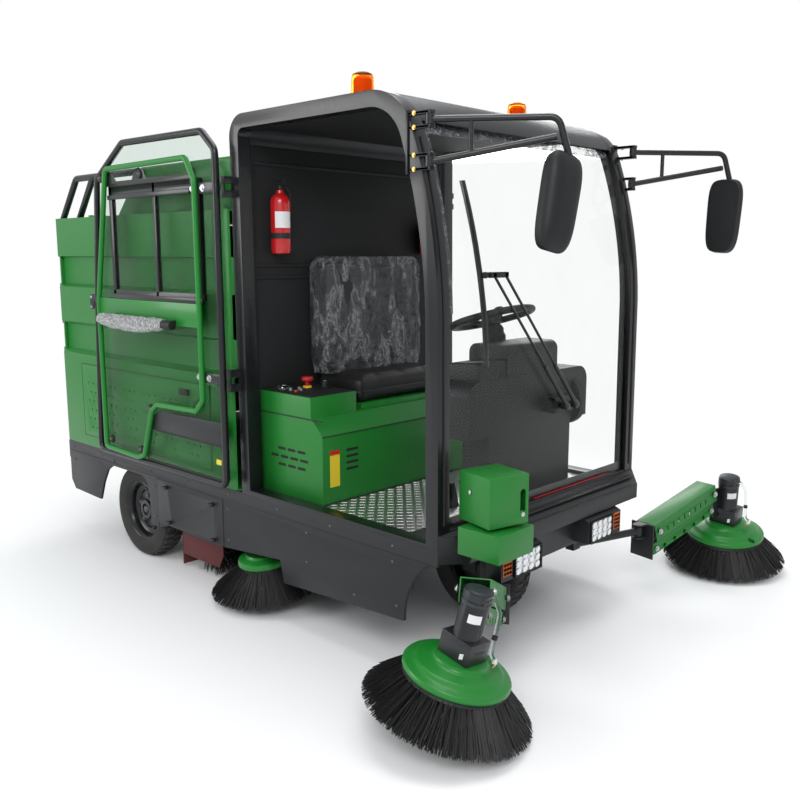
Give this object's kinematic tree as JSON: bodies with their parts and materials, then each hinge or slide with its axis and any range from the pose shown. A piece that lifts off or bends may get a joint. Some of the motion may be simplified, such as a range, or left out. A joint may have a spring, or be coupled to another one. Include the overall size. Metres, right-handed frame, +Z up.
{
  "type": "ride-on street sweeper",
  "caption": "Three-wheeled ride-on street sweeper with an open cab, rear hopper, side brushes on swinging arms, middle brushes and a roller brush.",
  "frame": {"origin": "on the ground, on the centre plane, under the rear wall of the cab", "axes": "+X to the front, +Y to the vehicle's left, +Z up"},
  "size_m": [3.206, 2.6375, 2.131],
  "materials": {
    "body_green": "glossy green paint",
    "body_black": "satin black paint",
    "glass": "clear, slightly grey",
    "tyre": "matt black rubber",
    "rubber": "matt dark red rubber",
    "vinyl": "black vinyl",
    "plastic_black": "grained black plastic",
    "lamp_clear": "clear ribbed lens",
    "lamp_amber": "amber and red lenses",
    "bristle": "black bristles",
    "red_paint": "glossy red paint"
  },
  "bodies": {
    "vehicle": {"chassis_frame": "body_black", "rear_axle": "body_black", "battery_block": "plastic_black", "side_skirts": "body_black", "cab_floor": "body_black", "cab_hoops": "body_black", "roof": "body_black", "rear_wall": "body_black", "windscreen": "glass", "seat_box": "body_green", "seat_cushion": "vinyl", "seat_back": "vinyl", "console": "plastic_black", "extinguishers": "red_paint", "bumpers": "body_black", "headlamp_lenses": "lamp_clear", "signal_lamps": "lamp_amber", "corner_boxes": "body_green", "hopper_body": "body_green", "filter_housing": "body_green", "guard_rails": "body_black", "brush_mounts": "body_black", "brush_housing": "body_black", "rubber_flaps": "rubber", "wiper_drive": "plastic_black"},
    "rear_wheel_right": {"tyre_rear_right": "tyre", "rim_rear_right": "body_black"},
    "rear_wheel_left": {"tyre_rear_left": "tyre", "rim_rear_left": "body_black"},
    "fork": {"steer_fork": "body_black"},
    "front_wheel": {"tyre_front": "tyre", "rim_front": "body_black"},
    "steering_wheel": {"steering_wheel": "plastic_black"},
    "door_right": {"door_frame_right": "body_black", "door_glass_right": "glass"},
    "door_left": {"door_frame_left": "body_black", "door_glass_left": "glass"},
    "mid_brush_right": {"mid_brush_right": "bristle"},
    "mid_brush_left": {"mid_brush_left": "bristle"},
    "roller": {"roller_brush": "bristle"},
    "mirror_right": {"mirror_right": "plastic_black"},
    "mirror_left": {"mirror_left": "plastic_black"},
    "wiper_arm_main": {"wiper_arm_main": "body_black"},
    "wiper_arm_aux": {"wiper_arm_aux": "body_black"},
    "wiper_blade": {"wiper_blade": "plastic_black"},
    "tailgate": {"tailgate": "body_green"},
    "arm_link_right": {"arm_link_right": "body_black"},
    "upper_arm_right": {"upper_arm_right": "body_green"},
    "lower_arm_right": {"lower_arm_right": "body_green"},
    "motor_carrier_right": {"motor_carrier_right": "body_black"},
    "side_brush_right": {"side_brush_right": "bristle"},
    "arm_link_left": {"arm_link_left": "body_black"},
    "upper_arm_left": {"upper_arm_left": "body_green"},
    "lower_arm_left": {"lower_arm_left": "body_green"},
    "motor_carrier_left": {"motor_carrier_left": "body_black"},
    "side_brush_left": {"side_brush_left": "bristle"}
  },
  "joints": [
    {"name": "rear_wheel_right_spin", "type": "hinge", "parent": "vehicle", "child": "rear_wheel_right", "pos_m": [-0.98, -0.561, 0.232], "axis": [0, 1, 0], "continuous": true},
    {"name": "rear_wheel_left_spin", "type": "hinge", "parent": "vehicle", "child": "rear_wheel_left", "pos_m": [-0.98, 0.561, 0.232], "axis": [0, 1, 0], "continuous": true},
    {"name": "fork_steer", "type": "hinge", "parent": "vehicle", "child": "fork", "pos_m": [0.685, 0, 0.48], "axis": [0, 0, 1], "range_deg": [-45, 45]},
    {"name": "front_wheel_spin", "type": "hinge", "parent": "fork", "child": "front_wheel", "pos_m": [0.685, 0, 0.232], "axis": [0, 1, 0], "continuous": true},
    {"name": "steering_wheel_turn", "type": "hinge", "parent": "vehicle", "child": "steering_wheel", "pos_m": [0.723, 0, 1.245], "axis": [-0.2924, 0, 0.9563], "range_deg": [-540, 540]},
    {"name": "door_right_swing", "type": "hinge", "parent": "vehicle", "child": "door_right", "pos_m": [-0.085, -0.693, 0.983], "axis": [0, 0, 1], "range_deg": [0, 180]},
    {"name": "door_left_swing", "type": "hinge", "parent": "vehicle", "child": "door_left", "pos_m": [-0.085, 0.693, 0.983], "axis": [0, 0, 1], "range_deg": [-180, 0]},
    {"name": "arm_right_swing", "type": "hinge", "parent": "vehicle", "child": "arm_link_right", "pos_m": [1.01, -0.328, 0.287], "axis": [0, 0, 1], "range_deg": [-10, 4]},
    {"name": "upper_arm_right_lift", "type": "hinge", "parent": "arm_link_right", "child": "upper_arm_right", "pos_m": [1.04939, -0.39763, 0.285], "axis": [-0.8704, -0.4924, 0], "range_deg": [0, 3]},
    {"name": "lower_arm_right_lift", "type": "hinge", "parent": "arm_link_right", "child": "lower_arm_right", "pos_m": [1.04939, -0.39763, 0.203], "axis": [-0.8704, -0.4924, 0], "range_deg": [0, 3]},
    {"name": "motor_carrier_right_level", "type": "hinge", "parent": "upper_arm_right", "child": "motor_carrier_right", "pos_m": [1.22877, -0.71468, 0.45024], "axis": [-0.8704, -0.4924, 0], "range_deg": [-3, 0]},
    {"name": "side_brush_right_spin", "type": "hinge", "parent": "motor_carrier_right", "child": "side_brush_right", "pos_m": [1.228, -0.806, 0.205], "axis": [0.2062, 0.1277, 0.9701], "continuous": true},
    {"name": "arm_left_swing", "type": "hinge", "parent": "vehicle", "child": "arm_link_left", "pos_m": [1.062, 0.64, 0.287], "axis": [0, 0, 1], "range_deg": [-30, 20]},
    {"name": "upper_arm_left_lift", "type": "hinge", "parent": "arm_link_left", "child": "upper_arm_left", "pos_m": [1.07726, 0.71853, 0.285], "axis": [0.9816, -0.1908, 0], "range_deg": [0, 16]},
    {"name": "lower_arm_left_lift", "type": "hinge", "parent": "arm_link_left", "child": "lower_arm_left", "pos_m": [1.07726, 0.71853, 0.203], "axis": [0.9816, -0.1908, 0], "range_deg": [0, 16]},
    {"name": "motor_carrier_left_level", "type": "hinge", "parent": "upper_arm_left", "child": "motor_carrier_left", "pos_m": [1.15081, 1.0969, 0.39189], "axis": [0.9816, -0.1908, 0], "range_deg": [-16, 0]},
    {"name": "side_brush_left_spin", "type": "hinge", "parent": "motor_carrier_left", "child": "side_brush_left", "pos_m": [1.204, 1.228, 0.178], "axis": [0.0863, -0.1387, 0.9866], "continuous": true},
    {"name": "mid_brush_right_spin", "type": "hinge", "parent": "vehicle", "child": "mid_brush_right", "pos_m": [-0.075, -0.55, 0.182], "axis": [0, -0.1219, 0.9925], "continuous": true},
    {"name": "mid_brush_left_spin", "type": "hinge", "parent": "vehicle", "child": "mid_brush_left", "pos_m": [-0.075, 0.55, 0.182], "axis": [0, 0.1219, 0.9925], "continuous": true},
    {"name": "roller_spin", "type": "hinge", "parent": "vehicle", "child": "roller", "pos_m": [-0.48, 0, 0.144], "axis": [0, 1, 0], "continuous": true},
    {"name": "mirror_right_fold", "type": "hinge", "parent": "vehicle", "child": "mirror_right", "pos_m": [0.958, -0.64, 1.851], "axis": [0, 0, 1], "range_deg": [-86, 0]},
    {"name": "mirror_left_fold", "type": "hinge", "parent": "vehicle", "child": "mirror_left", "pos_m": [0.958, 0.64, 1.851], "axis": [0, 0, 1], "range_deg": [-86, 0]},
    {"name": "wiper_main_sweep", "type": "hinge", "parent": "vehicle", "child": "wiper_arm_main", "pos_m": [1.02, 0.103, 0.911], "axis": [1, 0, 0], "range_deg": [-38, 0]},
    {"name": "wiper_aux_sweep", "type": "hinge", "parent": "vehicle", "child": "wiper_arm_aux", "pos_m": [1.02, 0.168, 0.911], "axis": [1, 0, 0], "range_deg": [-38, 0]},
    {"name": "wiper_blade_level", "type": "hinge", "parent": "wiper_arm_main", "child": "wiper_blade", "pos_m": [1.02, -0.378, 1.426], "axis": [1, 0, 0], "range_deg": [0, 38]},
    {"name": "tailgate_swing", "type": "hinge", "parent": "vehicle", "child": "tailgate", "pos_m": [-1.654, 0, 1.686], "axis": [0, 1, 0], "range_deg": [0, 85]}
  ],
  "couplings": [
    {"joint": "steering_wheel_turn", "follows": "fork_steer", "ratio": 12},
    {"joint": "lower_arm_right_lift", "follows": "upper_arm_right_lift", "ratio": 1},
    {"joint": "motor_carrier_right_level", "follows": "upper_arm_right_lift", "ratio": -1},
    {"joint": "lower_arm_left_lift", "follows": "upper_arm_left_lift", "ratio": 1},
    {"joint": "motor_carrier_left_level", "follows": "upper_arm_left_lift", "ratio": -1},
    {"joint": "wiper_aux_sweep", "follows": "wiper_main_sweep", "ratio": 1},
    {"joint": "wiper_blade_level", "follows": "wiper_main_sweep", "ratio": -1}
  ]
}
